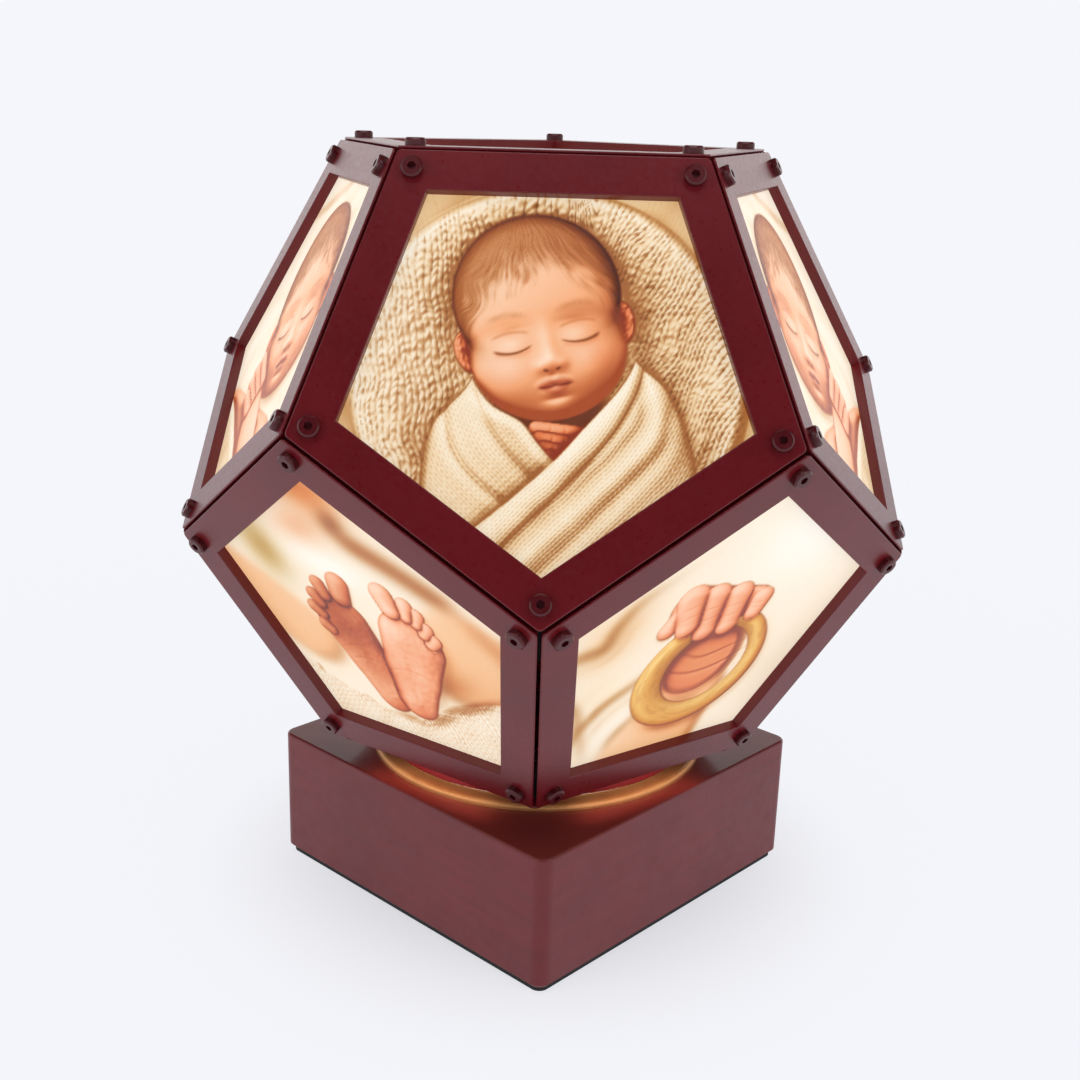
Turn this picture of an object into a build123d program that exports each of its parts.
from build123d import *
from math import acos, cos, degrees, radians, sin, sqrt, tan
import os

# A photo lamp whose twelve-sided head turns on a square base
# Lengths are in millimetres and angles in degrees
# The origin is the middle of the footprint, on the surface that the lamp stands on
# The base's sides lie along X and Y, its inlet and switch are on the +Y side

# Head: twelve mitred plates on the faces of a regular dodecahedron
edge_length = 80.0
head_rest_azimuth = -47.1
panel_thickness = 3.0
seam_gap = 1.1
panel_corner_round = 1.6
panel_edge_round = 0.35
border_width = 11.5
print_thickness = 0.3
diffuser_thickness = 2.0
sheet_inset = 5.5
sheet_corner_cut = 12.0
sheet_clearance = 0.2

# Panel screws: low-head socket cap screws, one near each corner of each plate
screw_corner_inset = 7.5
screw_radius = 1.5
screw_length = 6.0
screw_head_radius = 2.75
screw_head_height = 2.0
screw_head_bevel = 0.45
socket_across_flats = 2.0
socket_depth = 1.2
screw_hole_clearance = 0.1
thread_clearance = 0.02
tip_clearance = 0.3

# Corner brackets: one block inside each of the twenty corners
bracket_radius = 12.0
bracket_depth = 15.0

# Base case: a hollow lacquered box, open below
base_side = 117.0
case_height = 41.0
case_wall = 6.0
case_top_thickness = 6.0
case_corner_radius = 4.0
case_top_round = 0.8
case_bottom_bevel = 1.2
corner_block_side = 12.0
base_plate_thickness = 3.0
base_plate_clearance = 0.2
foot_pad_thickness = 1.5
foot_pad_inset = 1.5
foot_pad_corner_radius = 3.0
access_hole_radius = 4.5

# Plate screws: countersunk wood screws up into the corner blocks
wood_screw_radius = 1.5
wood_screw_length = 14.0
wood_screw_head_radius = 3.2
wood_screw_head_depth = 1.8
cross_recess_width = 0.9
cross_recess_length = 3.4
cross_recess_depth = 1.0

# Turntable: a painted disc and hub that turn on a glide ring and in a bush
bearing_ring_radius = 53.0
bearing_ring_bore = 40.0
bearing_ring_height = 2.0
bearing_ring_round = 1.4
glide_ring_inner = 42.0
glide_ring_outer = 47.5
glide_ring_recess = 0.8
glide_ring_proud = 1.0
turntable_radius = 49.5
turntable_thickness = 5.0
turntable_edge_round = 0.5
hub_radius = 12.0
hub_bore_radius = 7.5
running_clearance = 0.05
bush_wall = 3.0
bush_flange_radius = 19.0
bush_flange_thickness = 1.5
turntable_screw_reach = 30.0
turntable_screw_length = 6.0
hub_mouth_radius = 9.0

# Gear pair: the hub gear and the motor's pinion
gear_module = 0.8
hub_gear_teeth = 40
pinion_teeth = 20
pressure_angle = 20.0
gear_backlash = 0.2
dedendum_share = 1.25
gear_width = 5.0
gear_boss_wall = 2.0
gear_boss_height = 2.1
gear_axial_clearance = 0.4

# Motor: a small geared motor that hangs from a bracket, with its shaft off centre
motor_azimuth = 190.0
motor_radius = 10.0
motor_floor_gap = 3.5
motor_edge_round = 1.0
motor_shaft_offset = 5.5
motor_shaft_radius = 2.5
motor_shaft_flat = 3.0
motor_shaft_in_boss = 4.0
motor_boss_radius = 4.5
motor_boss_clearance = 0.3
ear_reach = 2.5
ear_thickness = 0.8
ear_end_radius = 3.0
motor_plug_width = 9.0
motor_plug_depth = 3.0
motor_plug_height = 5.0

# Motor bracket: a folded sheet over the motor with two feet
bracket_sheet = 1.5
bracket_leg_clearance = 1.0
bracket_leg_width = 18.0
bracket_foot_length = 7.0
bracket_end_margin = 0.5
bracket_gear_gap = 2.5
pan_screw_radius = 1.5
pan_screw_head_radius = 2.7
pan_screw_head_height = 1.6
pan_screw_length = 4.0

# Lamp: a hollow post through the hub with an opal globe in the middle of the head
post_radius = 4.5
post_bore_radius = 3.5
post_foot_radius = 11.0
post_foot_height = 3.0
post_screw_circle = 8.0
post_screw_count = 3
post_screw_azimuth = 0.0
post_slot_width = 4.0
post_slot_low = 9.0
post_slot_high = 26.0
globe_radius = 30.0
globe_wall = 1.2
globe_mouth_radius = 16.5
holder_height = 18.0
holder_rim = 1.0
holder_neck_radius = 8.0
holder_neck_height = 6.0
holder_socket_depth = 8.0
led_board_radius = 13.5
led_board_thickness = 1.6
led_board_recess = 4.0
led_board_clearance = 0.2
led_chip_side = 3.5
led_chip_height = 0.8
led_chip_circle = 8.5
led_chip_count = 6

# Driver board on snap standoffs, between a side wall and a corner block
board_length = 30.0
board_width = 20.0
board_thickness = 1.6
board_wall_gap = 6.5
board_block_gap = 0.5
board_hole_inset = 3.0
standoff_height = 4.0
standoff_radius = 2.5
standoff_neck_radius = 1.4
standoff_tip_radius = 1.9
standoff_tip_height = 1.6
terminal_tip_gap = 1.1
terminal_width = 6.0
terminal_height = 7.0
capacitor_radius = 3.2
capacitor_height = 9.0
chip_length = 9.0
chip_width = 6.0
chip_height = 1.8
header_length = 7.0
header_width = 5.0
header_height = 6.5

# Power inlet: a round socket in the back wall
inlet_x = -20.0
inlet_flange_radius = 5.6
inlet_flange_thickness = 1.2
inlet_barrel_radius = 4.0
inlet_barrel_length = 18.0
inlet_bore_radius = 2.85
inlet_bore_depth = 9.5
inlet_pin_radius = 1.05
inlet_pin_length = 8.5
panel_hole_clearance = 0.1
nut_thickness = 2.5
inlet_nut_across_flats = 11.0

# Switch: a round push switch in the back wall
switch_x = 20.0
switch_bezel_radius = 8.0
switch_bezel_thickness = 1.5
switch_barrel_radius = 6.0
switch_barrel_length = 18.0
switch_nut_across_flats = 16.0
button_radius = 4.5
button_proud = 2.0
button_travel = 1.5
button_foot_radius = 5.0
button_foot_height = 1.2
button_foot_clearance = 0.35
button_stem_length = 6.0
button_crown = 0.5

# Leads inside the base
lead_radius = 1.2
bend_share = 0.45
lead_run = 12.0
plug_run = 6.0
lead_shift = 3.0

# One overrun serves all cuts
overrun = 1.0

# Sizes of the dodecahedron
golden = (1 + sqrt(5)) / 2
panel_sides = 5
face_circumradius = edge_length / (2 * sin(radians(36)))
face_inradius = edge_length / (2 * tan(radians(36)))
solid_inradius = face_inradius * golden
solid_circumradius = sqrt(solid_inradius**2 + face_circumradius**2)
face_elevation = 90 - degrees(acos(1 / sqrt(5)))
mitre_angle = 90 - degrees(acos(-1 / sqrt(5))) / 2
corner_lean = acos(solid_inradius / solid_circumradius)
pentagon_ratio = cos(radians(36))

# Heights, from the ground up
case_floor = foot_pad_thickness
base_top = case_floor + case_height
case_ceiling = base_top - case_top_thickness
plate_top = case_floor + base_plate_thickness
glide_top = base_top + bearing_ring_height + glide_ring_proud
head_floor = glide_top + turntable_thickness
head_centre = head_floor + solid_inradius
gear_top = case_ceiling - gear_axial_clearance - gear_boss_height
gear_floor = gear_top - gear_width
bracket_top = gear_floor - bracket_gear_gap
motor_top = bracket_top - bracket_sheet
motor_floor = plate_top + motor_floor_gap
socket_height = (plate_top + case_ceiling) / 2
inner_half_side = base_side / 2 - case_wall
back_face = base_side / 2
block_centre = inner_half_side - corner_block_side / 2

parts = []


def keep(builder, name):
    """Label a finished piece and write it to its own file."""
    builder.part.label = name
    parts.append(name)
    export_step(builder.part, f"parts/{name}.step")


def face_plane(azimuth, elevation):
    """Plane of one face of the head, its normal outwards and its Y up the face."""
    level = cos(radians(elevation))
    outward = Vector(level, 0, sin(radians(elevation))).rotate(Axis.Z, azimuth)
    across = Vector(0, 1, 0).rotate(Axis.Z, azimuth)
    centre = Vector(0, 0, head_centre) + outward * solid_inradius
    return Plane(origin=centre, x_dir=across, z_dir=outward)


def hexagon_radius(across_flats):
    """Corner radius of a hexagon from its width across flats."""
    return across_flats / 2 / cos(radians(30))


# The faces: name, plane and the angle of one corner in that plane
opposite = head_rest_azimuth + 180
sector = 360 / panel_sides
top_face = ("top", face_plane(opposite, 90), -90)
bottom_face = ("bottom", face_plane(opposite, -90), -90)
upper_faces = []
lower_faces = []
for number in range(panel_sides):
    upper_azimuth = head_rest_azimuth + sector * number
    upper_faces.append((f"upper_{number + 1}", face_plane(upper_azimuth, face_elevation), -90))
    lower_azimuth = upper_azimuth + sector / 2
    lower_faces.append((f"lower_{number + 1}", face_plane(lower_azimuth, -face_elevation), 90))
picture_faces = [top_face] + upper_faces + lower_faces

# Outlines shared by the plates and the sheets behind them
panel_circumradius = (face_inradius - seam_gap / 2) / pentagon_ratio
window_circumradius = (face_inradius - border_width) / pentagon_ratio
sheet_circumradius = (face_inradius - sheet_inset) / pentagon_ratio
screw_circle = face_circumradius - screw_corner_inset
sheet_stack = print_thickness + diffuser_thickness

os.makedirs("parts", exist_ok=True)


def pentagon(circumradius, corner_angle):
    """Regular pentagon about the origin, one corner at the given angle."""
    RegularPolygon(radius=circumradius, side_count=panel_sides, rotation=corner_angle, align=None)


# Plates of the head
def make_panel(face, windowed):
    """One mitred plate with its window and screw holes."""
    name, plane, corner_angle = face
    with BuildPart() as panel:
        with BuildSketch(plane):
            pentagon(panel_circumradius, corner_angle)
        extrude(amount=-panel_thickness, taper=mitre_angle)
        mitres = panel.edges().filter_by(lambda e: abs(e.tangent_at(0).dot(plane.z_dir)) > 0.1)
        fillet(mitres, radius=panel_corner_round)
        if windowed:
            with BuildSketch(plane):
                pentagon(window_circumradius, corner_angle)
            extrude(amount=-panel_thickness, mode=Mode.SUBTRACT)
        outer_face = panel.faces().filter_by(lambda f: f.normal_at().dot(plane.z_dir) > 1 - 1e-6)
        rim = outer_face.edges()
        fillet(rim, radius=panel_edge_round)
        with BuildSketch(plane):
            with PolarLocations(screw_circle, panel_sides, start_angle=corner_angle):
                Circle(screw_radius + screw_hole_clearance)
        extrude(amount=-panel_thickness, mode=Mode.SUBTRACT)
        if not windowed:
            with BuildSketch(plane):
                Circle(hub_mouth_radius)
                with PolarLocations(turntable_screw_reach, panel_sides):
                    Circle(screw_radius + screw_hole_clearance)
            extrude(amount=-panel_thickness, mode=Mode.SUBTRACT)
    keep(panel, f"panel_{name}")


for face in picture_faces:
    make_panel(face, windowed=True)
make_panel(bottom_face, windowed=False)


# Photo prints and the opal sheets behind them
def sheet_outline(corner_angle):
    """Pentagon with its five corners cut off, clear of the corner brackets."""
    cut_length = 2 * sheet_corner_cut
    pentagon(sheet_circumradius, corner_angle)
    with PolarLocations(face_circumradius - sheet_corner_cut, panel_sides, start_angle=corner_angle):
        Rectangle(cut_length, 2 * cut_length, align=(Align.MIN, Align.CENTER), mode=Mode.SUBTRACT)


for name, plane, corner_angle in picture_faces:
    with BuildPart() as photo_print:
        with BuildSketch(plane.offset(-panel_thickness)):
            sheet_outline(corner_angle)
        extrude(amount=-print_thickness)
    keep(photo_print, f"photo_print_{name}")


def make_diffusers(faces, name):
    """Opal sheets behind the prints of one ring of faces."""
    with BuildPart() as diffusers:
        for _, plane, corner_angle in faces:
            with BuildSketch(plane.offset(-panel_thickness - print_thickness)):
                sheet_outline(corner_angle)
            extrude(amount=-diffuser_thickness)
    keep(diffusers, name)


make_diffusers([top_face], "diffuser_top")
make_diffusers(upper_faces, "diffusers_upper")
make_diffusers(lower_faces, "diffusers_lower")

# Corner bracket, drawn with its corner at the origin and pointing up
corner_faces = []
for number in range(3):
    around = 120 * number
    toward_centre = Vector(cos(corner_lean), 0, -sin(corner_lean)).rotate(Axis.Z, around)
    outward = Vector(sin(corner_lean), 0, cos(corner_lean)).rotate(Axis.Z, around)
    corner_faces.append(Plane(origin=(0, 0, 0), x_dir=toward_centre, z_dir=outward))

with BuildPart() as corner_bracket:
    with BuildSketch(Plane.XY.offset(-bracket_depth)):
        Circle(bracket_radius)
    extrude(amount=bracket_depth)
    for face in corner_faces:
        split(bisect_by=face.offset(-panel_thickness), keep=Keep.BOTTOM)
    for face in corner_faces:
        with BuildSketch(face.offset(-panel_thickness)):
            with Locations((sheet_corner_cut - sheet_clearance, 0)):
                Rectangle(2 * bracket_radius, 4 * bracket_radius, align=(Align.MIN, Align.CENTER))
        extrude(amount=-sheet_stack - sheet_clearance, mode=Mode.SUBTRACT)
        with BuildSketch(face):
            with Locations((screw_corner_inset, 0)):
                Circle(screw_radius + thread_clearance)
        extrude(amount=-screw_length - tip_clearance, mode=Mode.SUBTRACT)

# The twenty corners, each with the centre of one face that meets there
head_middle = Vector(0, 0, head_centre)
corner_places = []
for _, plane, corner_angle in upper_faces + lower_faces:
    for number in range(panel_sides):
        spot = Vector(face_circumradius, 0).rotate(Axis.Z, corner_angle + sector * number)
        corner = plane.from_local_coords(spot)
        taken = any((corner - place.origin).length < bracket_radius for place in corner_places)
        if not taken:
            place = Plane(origin=corner, x_dir=plane.origin - corner, z_dir=corner - head_middle)
            corner_places.append(place)

with BuildPart() as corner_brackets:
    with Locations(*corner_places):
        add(corner_bracket.part)
keep(corner_brackets, "corner_brackets")

# Panel screw, drawn pointing down with the underside of its head at the origin
with BuildPart() as panel_screw:
    with BuildSketch(Plane.XY.offset(-screw_length)):
        Circle(screw_radius)
    extrude(amount=screw_length)
    with BuildSketch(Plane.XY):
        Circle(screw_head_radius)
    extrude(amount=screw_head_height)
    chamfer(panel_screw.faces().sort_by(Axis.Z)[-1].edges(), length=screw_head_bevel)
    with BuildSketch(Plane.XY.offset(screw_head_height)):
        RegularPolygon(radius=hexagon_radius(socket_across_flats), side_count=6)
    extrude(amount=-socket_depth, mode=Mode.SUBTRACT)


def make_panel_screws(faces, name):
    """The screws of one set of faces, five in each."""
    with BuildPart() as screws:
        for _, plane, corner_angle in faces:
            with Locations(plane):
                with PolarLocations(screw_circle, panel_sides, start_angle=corner_angle):
                    add(panel_screw.part)
    keep(screws, name)


make_panel_screws([top_face] + upper_faces, "panel_screws_upper")
make_panel_screws(lower_faces + [bottom_face], "panel_screws_lower")

# Turntable: disc and hub turned in one piece, on the glide ring and in the bush
with BuildPart() as turntable:
    with BuildSketch(Plane.XY.offset(glide_top)):
        Circle(turntable_radius)
    extrude(amount=turntable_thickness)
    fillet(turntable.edges().sort_by(Axis.Z)[0], radius=turntable_edge_round)
    with BuildSketch(Plane.XY.offset(gear_floor)):
        Circle(hub_radius)
    extrude(amount=glide_top - gear_floor)
    with BuildSketch(Plane.XY.offset(gear_floor)):
        Circle(hub_bore_radius)
    extrude(amount=head_floor - gear_floor, mode=Mode.SUBTRACT)
    with BuildSketch(bottom_face[1]):
        with PolarLocations(turntable_screw_reach, panel_sides):
            Circle(screw_radius + thread_clearance)
    extrude(amount=turntable_thickness, mode=Mode.SUBTRACT)
keep(turntable, "turntable")

# Turntable screws, from inside the head down into the disc
with BuildPart() as turntable_screw:
    with BuildSketch(Plane.XY.offset(-turntable_screw_length)):
        Circle(screw_radius)
    extrude(amount=turntable_screw_length)
    with BuildSketch(Plane.XY):
        Circle(screw_head_radius)
    extrude(amount=screw_head_height)
    chamfer(turntable_screw.faces().sort_by(Axis.Z)[-1].edges(), length=screw_head_bevel)
    with BuildSketch(Plane.XY.offset(screw_head_height)):
        RegularPolygon(radius=hexagon_radius(socket_across_flats), side_count=6)
    extrude(amount=-socket_depth, mode=Mode.SUBTRACT)

inner_floor = Plane(
    origin=(0, 0, head_floor + panel_thickness), x_dir=bottom_face[1].x_dir, z_dir=(0, 0, 1)
)
with BuildPart() as turntable_screws:
    with Locations(inner_floor):
        with PolarLocations(turntable_screw_reach, panel_sides):
            add(turntable_screw.part)
keep(turntable_screws, "turntable_screws")


# Gears
def involute(angle):
    """Involute function of an angle, in degrees."""
    return degrees(tan(radians(angle))) - angle


def gear_outline(teeth, first_tooth):
    """Closed outline of a spur gear with its first tooth at the given angle."""
    pitch_radius = gear_module * teeth / 2
    base_radius = pitch_radius * cos(radians(pressure_angle))
    tip_radius = pitch_radius + gear_module
    root_radius = pitch_radius - dedendum_share * gear_module
    foot_radius = max(base_radius, root_radius)
    pitch_half = 90 / teeth - degrees(gear_backlash / 4 / pitch_radius) + involute(pressure_angle)

    def flank(radius, tooth, side):
        roll = degrees(acos(base_radius / radius))
        turn = first_tooth + tooth * 360 / teeth + side * (pitch_half - involute(roll))
        return Vector(radius, 0).rotate(Axis.Z, turn)

    def root(tooth, side):
        return flank(foot_radius, tooth, side) * (root_radius / foot_radius)

    with BuildSketch() as outline:
        with BuildLine():
            for tooth in range(teeth):
                for side in (-1, 1):
                    foot = flank(foot_radius, tooth, side)
                    middle = flank((foot_radius + tip_radius) / 2, tooth, side)
                    ThreePointArc(foot, middle, flank(tip_radius, tooth, side))
                    if root_radius < foot_radius:
                        Line(root(tooth, side), foot)
                Line(flank(tip_radius, tooth, -1), flank(tip_radius, tooth, 1))
                Line(root(tooth, 1), root(tooth + 1, -1))
        make_face()
    return outline.sketch


centre_distance = gear_module * (hub_gear_teeth + pinion_teeth) / 2
shaft_place = Vector(centre_distance, 0).rotate(Axis.Z, motor_azimuth)

with BuildPart() as hub_gear:
    with BuildSketch(Plane.XY.offset(gear_floor)):
        add(gear_outline(hub_gear_teeth, motor_azimuth))
    extrude(amount=gear_width)
    with BuildSketch(Plane.XY.offset(gear_top)):
        Circle(hub_radius + gear_boss_wall)
    extrude(amount=gear_boss_height)
    with BuildSketch(Plane.XY.offset(gear_floor)):
        Circle(hub_radius)
    extrude(amount=gear_width + gear_boss_height, mode=Mode.SUBTRACT)
keep(hub_gear, "hub_gear")


def shaft_section(radius):
    """Round shaft end with two flats."""
    Circle(radius)
    Rectangle(motor_shaft_flat, 2 * radius, mode=Mode.INTERSECT)


with BuildPart() as drive_pinion:
    with BuildSketch(Plane((shaft_place.X, shaft_place.Y, gear_floor))):
        add(gear_outline(pinion_teeth, motor_azimuth + 180 + 180 / pinion_teeth))
    extrude(amount=gear_width)
    with BuildSketch(Plane((shaft_place.X, shaft_place.Y, gear_floor))):
        shaft_section(motor_shaft_radius)
    extrude(amount=gear_width, mode=Mode.SUBTRACT)
keep(drive_pinion, "drive_pinion")

shaft_foot = motor_top - motor_shaft_in_boss
with BuildPart() as motor_shaft:
    with BuildSketch(Plane((shaft_place.X, shaft_place.Y, shaft_foot))):
        Circle(motor_shaft_radius)
    extrude(amount=gear_floor - shaft_foot)
    with BuildSketch(Plane((shaft_place.X, shaft_place.Y, gear_floor))):
        shaft_section(motor_shaft_radius)
    extrude(amount=gear_width)
keep(motor_shaft, "motor_shaft")

# Motor, beside the pinion's axis
motor_x = shaft_place.X
motor_y = shaft_place.Y - motor_shaft_offset
ear_spacing = 2 * (motor_radius + ear_reach)
plug_middle = (motor_floor + motor_top) / 2
with BuildPart() as motor:
    with BuildSketch(Plane((motor_x, motor_y, motor_floor))):
        Circle(motor_radius)
    extrude(amount=motor_top - motor_floor)
    fillet(motor.edges().filter_by(GeomType.CIRCLE), radius=motor_edge_round)
    with BuildSketch(Plane((motor_x, motor_y, motor_top - ear_thickness))):
        SlotCenterToCenter(ear_spacing, 2 * ear_end_radius)
    extrude(amount=ear_thickness)
    with BuildSketch(Plane((motor_x, shaft_place.Y, motor_top))):
        Circle(motor_boss_radius)
    extrude(amount=bracket_sheet)
    with BuildSketch(Plane((motor_x, motor_y, plug_middle - motor_plug_height / 2))):
        Rectangle(motor_radius + motor_plug_depth, motor_plug_width, align=(Align.MIN, Align.CENTER))
    extrude(amount=motor_plug_height)
    with BuildSketch(Plane((motor_x, shaft_place.Y, shaft_foot))):
        Circle(motor_shaft_radius + running_clearance)
    extrude(amount=motor_shaft_in_boss + bracket_sheet, mode=Mode.SUBTRACT)
    with BuildSketch(Plane((motor_x, motor_y, motor_top - ear_thickness))):
        with GridLocations(ear_spacing, 0, 2, 1):
            Circle(pan_screw_radius + thread_clearance)
    extrude(amount=ear_thickness, mode=Mode.SUBTRACT)
keep(motor, "motor")

# Motor bracket over the motor, its two feet on the base plate
leg_inside = motor_radius + bracket_leg_clearance
leg_outside = leg_inside + bracket_sheet
foot_middle = leg_outside + bracket_foot_length / 2
bracket_length = ear_spacing + 2 * ear_end_radius - 2 * bracket_end_margin
with BuildPart() as motor_bracket:
    with BuildSketch(Plane((motor_x, motor_y, motor_top))):
        Rectangle(bracket_length, 2 * leg_outside)
    extrude(amount=bracket_sheet)
    with BuildSketch(Plane((motor_x, motor_y, plate_top))):
        Rectangle(bracket_leg_width, 2 * leg_outside)
        Rectangle(bracket_leg_width, 2 * leg_inside, mode=Mode.SUBTRACT)
    extrude(amount=motor_top - plate_top)
    with BuildSketch(Plane((motor_x, motor_y, plate_top))):
        Rectangle(bracket_leg_width, 2 * (leg_outside + bracket_foot_length))
        Rectangle(bracket_leg_width, 2 * leg_inside, mode=Mode.SUBTRACT)
        with GridLocations(0, 2 * foot_middle, 1, 2):
            Circle(pan_screw_radius + screw_hole_clearance, mode=Mode.SUBTRACT)
    extrude(amount=bracket_sheet)
    with BuildSketch(Plane((motor_x, motor_y, motor_top))):
        with Locations((0, motor_shaft_offset)):
            Circle(motor_boss_radius + motor_boss_clearance)
        with GridLocations(ear_spacing, 0, 2, 1):
            Circle(pan_screw_radius + screw_hole_clearance)
    extrude(amount=bracket_sheet, mode=Mode.SUBTRACT)
keep(motor_bracket, "motor_bracket")

# Pan head screws of the motor, its bracket and the lamp post
with BuildPart() as pan_screw:
    with BuildSketch(Plane.XY.offset(-pan_screw_length)):
        Circle(pan_screw_radius)
    extrude(amount=pan_screw_length)
    with BuildSketch(Plane.XY):
        Circle(pan_screw_head_radius)
    extrude(amount=pan_screw_head_height)
    fillet(pan_screw.faces().sort_by(Axis.Z)[-1].edges(), radius=pan_screw_head_height / 2)
    with BuildSketch(Plane.XY.offset(pan_screw_head_height)):
        Rectangle(cross_recess_length, cross_recess_width)
        Rectangle(cross_recess_width, cross_recess_length)
    extrude(amount=-cross_recess_depth, mode=Mode.SUBTRACT)

post_foot_top = plate_top + post_foot_height
with BuildPart() as bracket_screws:
    with Locations(Plane((motor_x, motor_y, bracket_top))):
        with GridLocations(ear_spacing, 0, 2, 1):
            add(pan_screw.part)
    with Locations(Plane((motor_x, motor_y, plate_top + bracket_sheet))):
        with GridLocations(0, 2 * foot_middle, 1, 2):
            add(pan_screw.part)
    with Locations(Plane((0, 0, post_foot_top))):
        with PolarLocations(post_screw_circle, post_screw_count, start_angle=post_screw_azimuth):
            add(pan_screw.part)
keep(bracket_screws, "bracket_screws")

# Base case
with BuildPart() as base_case:
    with BuildSketch(Plane.XY.offset(case_floor)):
        RectangleRounded(base_side, base_side, case_corner_radius)
    extrude(amount=case_height)
    fillet(base_case.faces().sort_by(Axis.Z)[-1].edges(), radius=case_top_round)
    chamfer(base_case.faces().sort_by(Axis.Z)[0].edges(), length=case_bottom_bevel)
    with BuildSketch(Plane.XY.offset(case_floor)):
        Rectangle(2 * inner_half_side, 2 * inner_half_side)
    extrude(amount=case_ceiling - case_floor, mode=Mode.SUBTRACT)
    with BuildSketch(Plane.XY.offset(case_ceiling)):
        Circle(hub_radius + running_clearance + bush_wall)
    extrude(amount=case_top_thickness, mode=Mode.SUBTRACT)
    with BuildSketch(Plane.XZ.offset(-back_face)):
        with Locations((inlet_x, socket_height)):
            Circle(inlet_barrel_radius + panel_hole_clearance)
        with Locations((switch_x, socket_height)):
            Circle(switch_barrel_radius + panel_hole_clearance)
    extrude(amount=case_wall, mode=Mode.SUBTRACT)
keep(base_case, "base_case")

# Blocks glued into the corners of the case
with BuildPart() as corner_blocks:
    with BuildSketch(Plane.XY.offset(plate_top)):
        with GridLocations(2 * block_centre, 2 * block_centre, 2, 2):
            Rectangle(corner_block_side, corner_block_side)
            Circle(wood_screw_radius + thread_clearance, mode=Mode.SUBTRACT)
    extrude(amount=case_ceiling - plate_top)
keep(corner_blocks, "corner_blocks")

# Base plate, closing the case from below
plate_side = 2 * (inner_half_side - base_plate_clearance)
with BuildPart() as base_plate:
    with BuildSketch(Plane.XY.offset(case_floor)):
        Rectangle(plate_side, plate_side)
        with GridLocations(2 * block_centre, 2 * block_centre, 2, 2):
            Circle(wood_screw_radius + screw_hole_clearance, mode=Mode.SUBTRACT)
        with Locations((motor_x, motor_y)):
            with GridLocations(0, 2 * foot_middle, 1, 2):
                Circle(pan_screw_radius + thread_clearance, mode=Mode.SUBTRACT)
        with PolarLocations(post_screw_circle, post_screw_count, start_angle=post_screw_azimuth):
            Circle(pan_screw_radius + thread_clearance, mode=Mode.SUBTRACT)
    extrude(amount=base_plate_thickness)
    with BuildSketch(Plane.XY.offset(case_floor)):
        with GridLocations(2 * block_centre, 2 * block_centre, 2, 2):
            Circle(wood_screw_head_radius)
    extrude(amount=wood_screw_head_depth, taper=45, mode=Mode.SUBTRACT)
keep(base_plate, "base_plate")

# Plate screws
with BuildPart() as wood_screw:
    with BuildSketch(Plane.XZ):
        with BuildLine():
            Polyline(
                (0, 0),
                (wood_screw_head_radius, 0),
                (wood_screw_radius, wood_screw_head_radius - wood_screw_radius),
                (wood_screw_radius, wood_screw_length - 2 * wood_screw_radius),
                (0, wood_screw_length),
                close=True,
            )
        make_face()
    revolve(axis=Axis.Z)
    with BuildSketch(Plane.XY):
        Rectangle(cross_recess_length, cross_recess_width)
        Rectangle(cross_recess_width, cross_recess_length)
    extrude(amount=cross_recess_depth, mode=Mode.SUBTRACT)

with BuildPart() as plate_screws:
    with Locations(Plane((0, 0, case_floor))):
        with GridLocations(2 * block_centre, 2 * block_centre, 2, 2):
            add(wood_screw.part)
keep(plate_screws, "plate_screws")

# Foot pad with holes over the screws
pad_side = base_side - 2 * foot_pad_inset
with BuildPart() as foot_pad:
    with BuildSketch(Plane.XY):
        RectangleRounded(pad_side, pad_side, foot_pad_corner_radius)
        with GridLocations(2 * block_centre, 2 * block_centre, 2, 2):
            Circle(access_hole_radius, mode=Mode.SUBTRACT)
    extrude(amount=foot_pad_thickness)
keep(foot_pad, "foot_pad")

# Bearing ring on the base's top, with a recess for the glide ring
with BuildPart() as bearing_ring:
    with BuildSketch(Plane.XY.offset(base_top)):
        Circle(bearing_ring_radius)
        Circle(bearing_ring_bore, mode=Mode.SUBTRACT)
    extrude(amount=bearing_ring_height)
    outer_rim = bearing_ring.faces().sort_by(Axis.Z)[-1].edges().sort_by(SortBy.RADIUS)[-1]
    fillet(outer_rim, radius=bearing_ring_round)
    with BuildSketch(Plane.XY.offset(base_top + bearing_ring_height)):
        Circle(glide_ring_outer)
        Circle(glide_ring_inner, mode=Mode.SUBTRACT)
    extrude(amount=-glide_ring_recess, mode=Mode.SUBTRACT)
keep(bearing_ring, "bearing_ring")

with BuildPart() as glide_ring:
    with BuildSketch(Plane.XY.offset(base_top + bearing_ring_height - glide_ring_recess)):
        Circle(glide_ring_outer)
        Circle(glide_ring_inner, mode=Mode.SUBTRACT)
    extrude(amount=glide_ring_recess + glide_ring_proud)
keep(glide_ring, "glide_ring")

# Flanged bush in the case's top
with BuildPart() as bearing_bush:
    with BuildSketch(Plane.XY.offset(case_ceiling)):
        Circle(hub_radius + running_clearance + bush_wall)
    extrude(amount=case_top_thickness)
    with BuildSketch(Plane.XY.offset(base_top)):
        Circle(bush_flange_radius)
    extrude(amount=bush_flange_thickness)
    with BuildSketch(Plane.XY.offset(case_ceiling)):
        Circle(hub_radius + running_clearance)
    extrude(amount=case_top_thickness + bush_flange_thickness, mode=Mode.SUBTRACT)
keep(bearing_bush, "bearing_bush")

# Lamp globe around the middle of the head
globe_seat = head_centre - sqrt(globe_radius**2 - globe_mouth_radius**2)
with BuildPart() as lamp_globe:
    with Locations((0, 0, head_centre)):
        Sphere(globe_radius)
        Sphere(globe_radius - globe_wall, mode=Mode.SUBTRACT)
    split(bisect_by=Plane.XY.offset(globe_seat), keep=Keep.TOP)
keep(lamp_globe, "lamp_globe")

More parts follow.
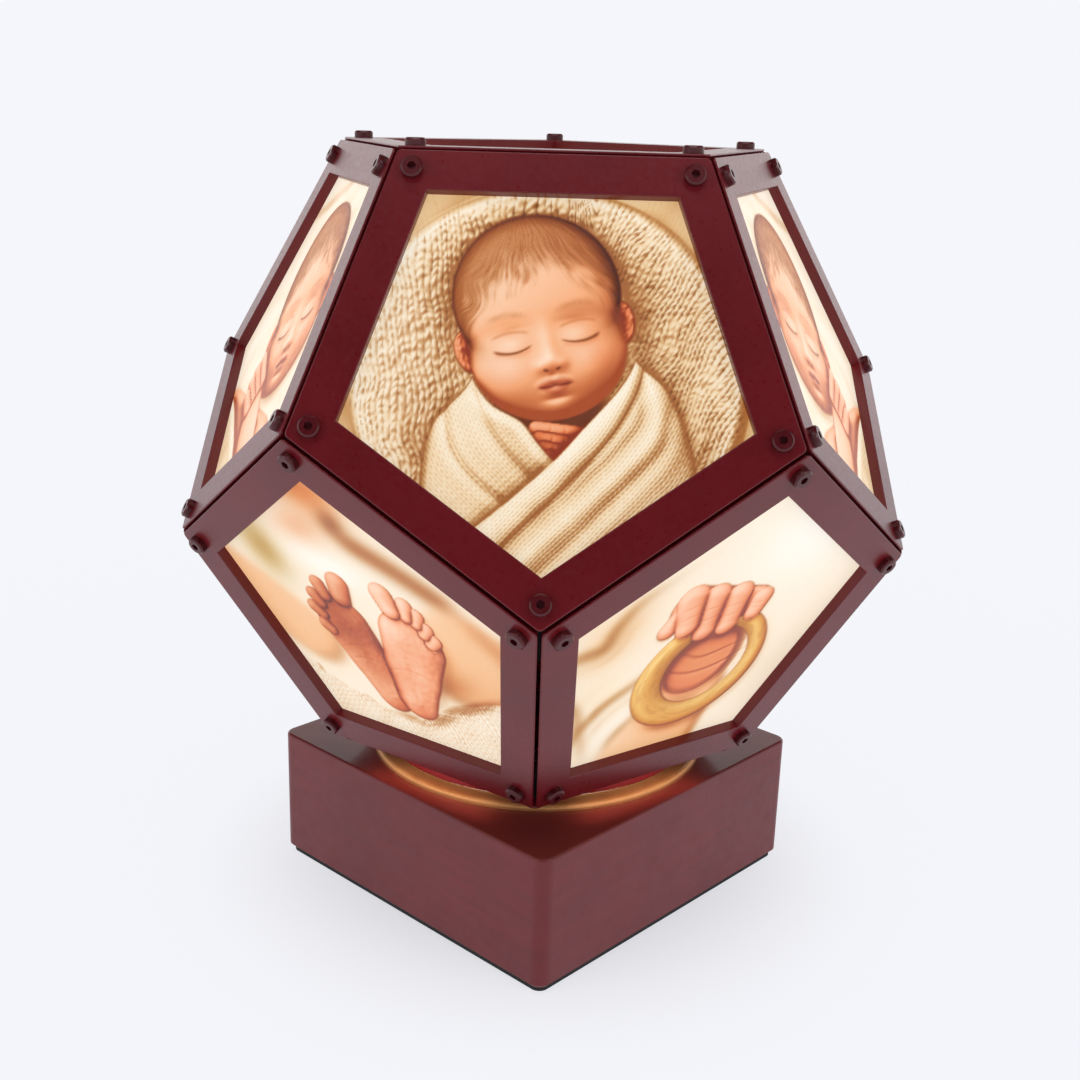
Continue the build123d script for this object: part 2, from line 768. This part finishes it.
# Lamp holder on top of the post
holder_floor = globe_seat - holder_height
holder_radius = globe_mouth_radius + holder_rim
with BuildPart() as lamp_holder:
    with BuildSketch(Plane.XZ):
        with BuildLine():
            Polyline(
                (0, holder_floor),
                (holder_neck_radius, holder_floor),
                (holder_neck_radius, holder_floor + holder_neck_height),
                (holder_radius, globe_seat - led_board_recess),
                (holder_radius, globe_seat),
                (0, globe_seat),
                close=True,
            )
        make_face()
    revolve(axis=Axis.Z)
    with BuildSketch(Plane.XY.offset(globe_seat)):
        Circle(led_board_radius + led_board_clearance)
    extrude(amount=-led_board_recess, mode=Mode.SUBTRACT)
    with BuildSketch(Plane.XY.offset(holder_floor)):
        Circle(post_radius)
    extrude(amount=holder_socket_depth, mode=Mode.SUBTRACT)
    with BuildSketch(Plane.XY.offset(holder_floor)):
        Circle(post_bore_radius)
    extrude(amount=holder_height, mode=Mode.SUBTRACT)
keep(lamp_holder, "lamp_holder")

# Light board with its chips
board_seat = globe_seat - led_board_recess
with BuildPart() as led_board:
    with BuildSketch(Plane.XY.offset(board_seat)):
        Circle(led_board_radius)
    extrude(amount=led_board_thickness)
    with BuildSketch(Plane.XY.offset(board_seat + led_board_thickness)):
        Rectangle(led_chip_side, led_chip_side)
        with PolarLocations(led_chip_circle, led_chip_count):
            Rectangle(led_chip_side, led_chip_side)
    extrude(amount=led_chip_height)
keep(led_board, "led_board")

# Lamp post with its foot, and a slot where the lead goes in
with BuildPart() as lamp_post:
    with BuildSketch(Plane.XY.offset(plate_top)):
        Circle(post_foot_radius)
        with PolarLocations(post_screw_circle, post_screw_count, start_angle=post_screw_azimuth):
            Circle(pan_screw_radius + screw_hole_clearance, mode=Mode.SUBTRACT)
    extrude(amount=post_foot_height)
    with BuildSketch(Plane.XY.offset(plate_top)):
        Circle(post_radius)
    extrude(amount=holder_floor + holder_socket_depth - plate_top)
    with BuildSketch(Plane.XY.offset(plate_top)):
        Circle(post_bore_radius)
    extrude(amount=holder_floor + holder_socket_depth - plate_top, mode=Mode.SUBTRACT)
    with BuildSketch(Plane.XY.offset(plate_top + post_slot_low)):
        Rectangle(post_radius + overrun, post_slot_width, align=(Align.MIN, Align.CENTER))
    extrude(amount=post_slot_high - post_slot_low, mode=Mode.SUBTRACT)
keep(lamp_post, "lamp_post")

# Driver board
board_x = inner_half_side - board_wall_gap - board_length / 2
board_y = board_block_gap + board_width / 2 + corner_block_side - inner_half_side
board_floor = plate_top + standoff_height
board_top = board_floor + board_thickness
hole_x = board_length - 2 * board_hole_inset
hole_y = board_width - 2 * board_hole_inset
terminal_face = board_y + board_width / 2
header_face = board_x - board_length / 2 + 2 * board_hole_inset
terminal_length = board_length - 2 * (board_hole_inset + standoff_tip_radius + terminal_tip_gap)
with BuildPart() as driver_board:
    with BuildSketch(Plane((board_x, board_y, board_floor))):
        Rectangle(board_length, board_width)
        with GridLocations(hole_x, hole_y, 2, 2):
            Circle(standoff_neck_radius + thread_clearance, mode=Mode.SUBTRACT)
    extrude(amount=board_thickness)
    with BuildSketch(Plane((board_x, terminal_face, board_top))):
        Rectangle(terminal_length, terminal_width, align=(Align.CENTER, Align.MAX))
    extrude(amount=terminal_height)
    with BuildSketch(Plane((header_face, board_y, board_top))):
        Rectangle(header_width, header_length, align=(Align.MIN, Align.CENTER))
    extrude(amount=header_height)
    with BuildSketch(Plane((board_x, board_y - hole_y / 2 + capacitor_radius / 2, board_top))):
        Circle(capacitor_radius)
    extrude(amount=capacitor_height)
    with BuildSketch(Plane((board_x + capacitor_radius + chip_length / 2, board_y, board_top))):
        Rectangle(chip_length, chip_width)
    extrude(amount=chip_height)
keep(driver_board, "driver_board")

with BuildPart() as board_standoffs:
    with BuildSketch(Plane((board_x, board_y, plate_top))):
        with GridLocations(hole_x, hole_y, 2, 2):
            Circle(standoff_radius)
    extrude(amount=standoff_height)
    with BuildSketch(Plane((board_x, board_y, board_floor))):
        with GridLocations(hole_x, hole_y, 2, 2):
            Circle(standoff_neck_radius)
    extrude(amount=board_thickness)
    with BuildSketch(Plane((board_x, board_y, board_top))):
        with GridLocations(hole_x, hole_y, 2, 2):
            Circle(standoff_tip_radius)
    extrude(amount=standoff_tip_height)
keep(board_standoffs, "board_standoffs")

# Power inlet through the back wall
back_plane = Plane(origin=(0, back_face, 0), x_dir=(-1, 0, 0), z_dir=(0, 1, 0))
wall_inside = back_plane.offset(-case_wall)
inlet_spot = (-inlet_x, socket_height)
switch_spot = (-switch_x, socket_height)
with BuildPart() as power_inlet:
    with BuildSketch(back_plane):
        with Locations(inlet_spot):
            Circle(inlet_flange_radius)
    extrude(amount=inlet_flange_thickness)
    with BuildSketch(back_plane):
        with Locations(inlet_spot):
            Circle(inlet_barrel_radius)
    extrude(amount=-inlet_barrel_length)
    with BuildSketch(back_plane.offset(inlet_flange_thickness)):
        with Locations(inlet_spot):
            Circle(inlet_bore_radius)
            Circle(inlet_pin_radius, mode=Mode.SUBTRACT)
    extrude(amount=-inlet_bore_depth, mode=Mode.SUBTRACT)
    with BuildSketch(back_plane.offset(inlet_flange_thickness)):
        with Locations(inlet_spot):
            Circle(inlet_bore_radius)
    extrude(amount=inlet_pin_length - inlet_bore_depth, mode=Mode.SUBTRACT)
keep(power_inlet, "power_inlet")

with BuildPart() as inlet_nut:
    with BuildSketch(wall_inside):
        with Locations(inlet_spot):
            RegularPolygon(radius=hexagon_radius(inlet_nut_across_flats), side_count=6)
            Circle(inlet_barrel_radius, mode=Mode.SUBTRACT)
    extrude(amount=-nut_thickness)
keep(inlet_nut, "inlet_nut")

# Push switch: body with a stepped bore, nut, and the button that slides in it
chamber_depth = button_stem_length + button_foot_height + button_travel + button_foot_clearance
with BuildPart() as switch_body:
    with BuildSketch(back_plane):
        with Locations(switch_spot):
            Circle(switch_bezel_radius)
    extrude(amount=switch_bezel_thickness)
    chamfer(switch_body.faces().sort_by(Axis.Y)[-1].edges(), length=switch_bezel_thickness / 3)
    with BuildSketch(back_plane):
        with Locations(switch_spot):
            Circle(switch_barrel_radius)
    extrude(amount=-switch_barrel_length)
    with BuildSketch(back_plane.offset(switch_bezel_thickness)):
        with Locations(switch_spot):
            Circle(button_radius + running_clearance)
    extrude(amount=-button_stem_length, mode=Mode.SUBTRACT)
    with BuildSketch(back_plane.offset(switch_bezel_thickness - button_stem_length)):
        with Locations(switch_spot):
            Circle(button_foot_radius + running_clearance)
    extrude(amount=button_stem_length - chamber_depth, mode=Mode.SUBTRACT)
keep(switch_body, "switch_body")

with BuildPart() as switch_nut:
    with BuildSketch(wall_inside):
        with Locations(switch_spot):
            RegularPolygon(radius=hexagon_radius(switch_nut_across_flats), side_count=6)
            Circle(switch_barrel_radius, mode=Mode.SUBTRACT)
    extrude(amount=-nut_thickness)
keep(switch_nut, "switch_nut")

with BuildPart() as power_button:
    with BuildSketch(back_plane.offset(switch_bezel_thickness + button_proud)):
        with Locations(switch_spot):
            Circle(button_radius)
    extrude(amount=-button_proud - button_stem_length)
    fillet(power_button.faces().sort_by(Axis.Y)[-1].edges(), radius=button_crown)
    with BuildSketch(back_plane.offset(switch_bezel_thickness - button_stem_length)):
        with Locations(switch_spot):
            Circle(button_foot_radius)
    extrude(amount=-button_foot_height)
keep(power_button, "power_button")


# Leads, each a tube along straight runs joined by arcs
def make_lead(points, name):
    """Round lead through a list of points, bent as gently as its runs allow."""
    route = [Vector(*point) for point in points]
    radii = []
    for before, corner, after in zip(route, route[1:], route[2:]):
        run_in = corner - before
        run_out = after - corner
        turn = radians(run_in.get_angle(run_out))
        radii.append(bend_share * min(run_in.length, run_out.length) / tan(turn / 2))
    with BuildPart() as lead:
        with BuildLine() as path:
            FilletPolyline(*route, radius=radii)
        with BuildSketch(Plane(origin=route[0], z_dir=route[1] - route[0])):
            Circle(lead_radius)
        sweep(path=path.wire())
    print(name, "radii", [round(radius, 1) for radius in radii])
    keep(lead, name)


inlet_back = back_face - inlet_barrel_length
terminal_middle = board_top + terminal_height / 2
header_middle = board_top + header_height / 2
inlet_lead_x = board_x + terminal_length / 4
lamp_lead_x = board_x - terminal_length / 4
make_lead(
    [
        (inlet_x, inlet_back, socket_height),
        (inlet_x, inlet_back - lead_run, socket_height),
        (inlet_lead_x - lead_run, inlet_back - 2 * lead_run, terminal_middle),
        (inlet_lead_x, terminal_face + lead_run, terminal_middle + lead_shift),
        (inlet_lead_x, terminal_face, terminal_middle + lead_shift),
    ],
    "inlet_lead",
)
plug_face = motor_x + motor_radius + motor_plug_depth
make_lead(
    [
        (plug_face, motor_y, plug_middle),
        (plug_face + plug_run, motor_y, plug_middle),
        (header_face - lead_run, board_y, header_middle),
        (header_face, board_y, header_middle),
    ],
    "motor_lead",
)
make_lead(
    [
        (lamp_lead_x, terminal_face, terminal_middle),
        (lamp_lead_x, -lead_shift, terminal_middle),
        (post_radius + lead_shift, 0, terminal_middle + lead_shift),
        (0, 0, plate_top + post_slot_high),
        (0, 0, board_seat),
    ],
    "lamp_lead",
)
print(len(parts), "pieces, height", round(head_floor + 2 * solid_inradius + screw_head_height, 2))
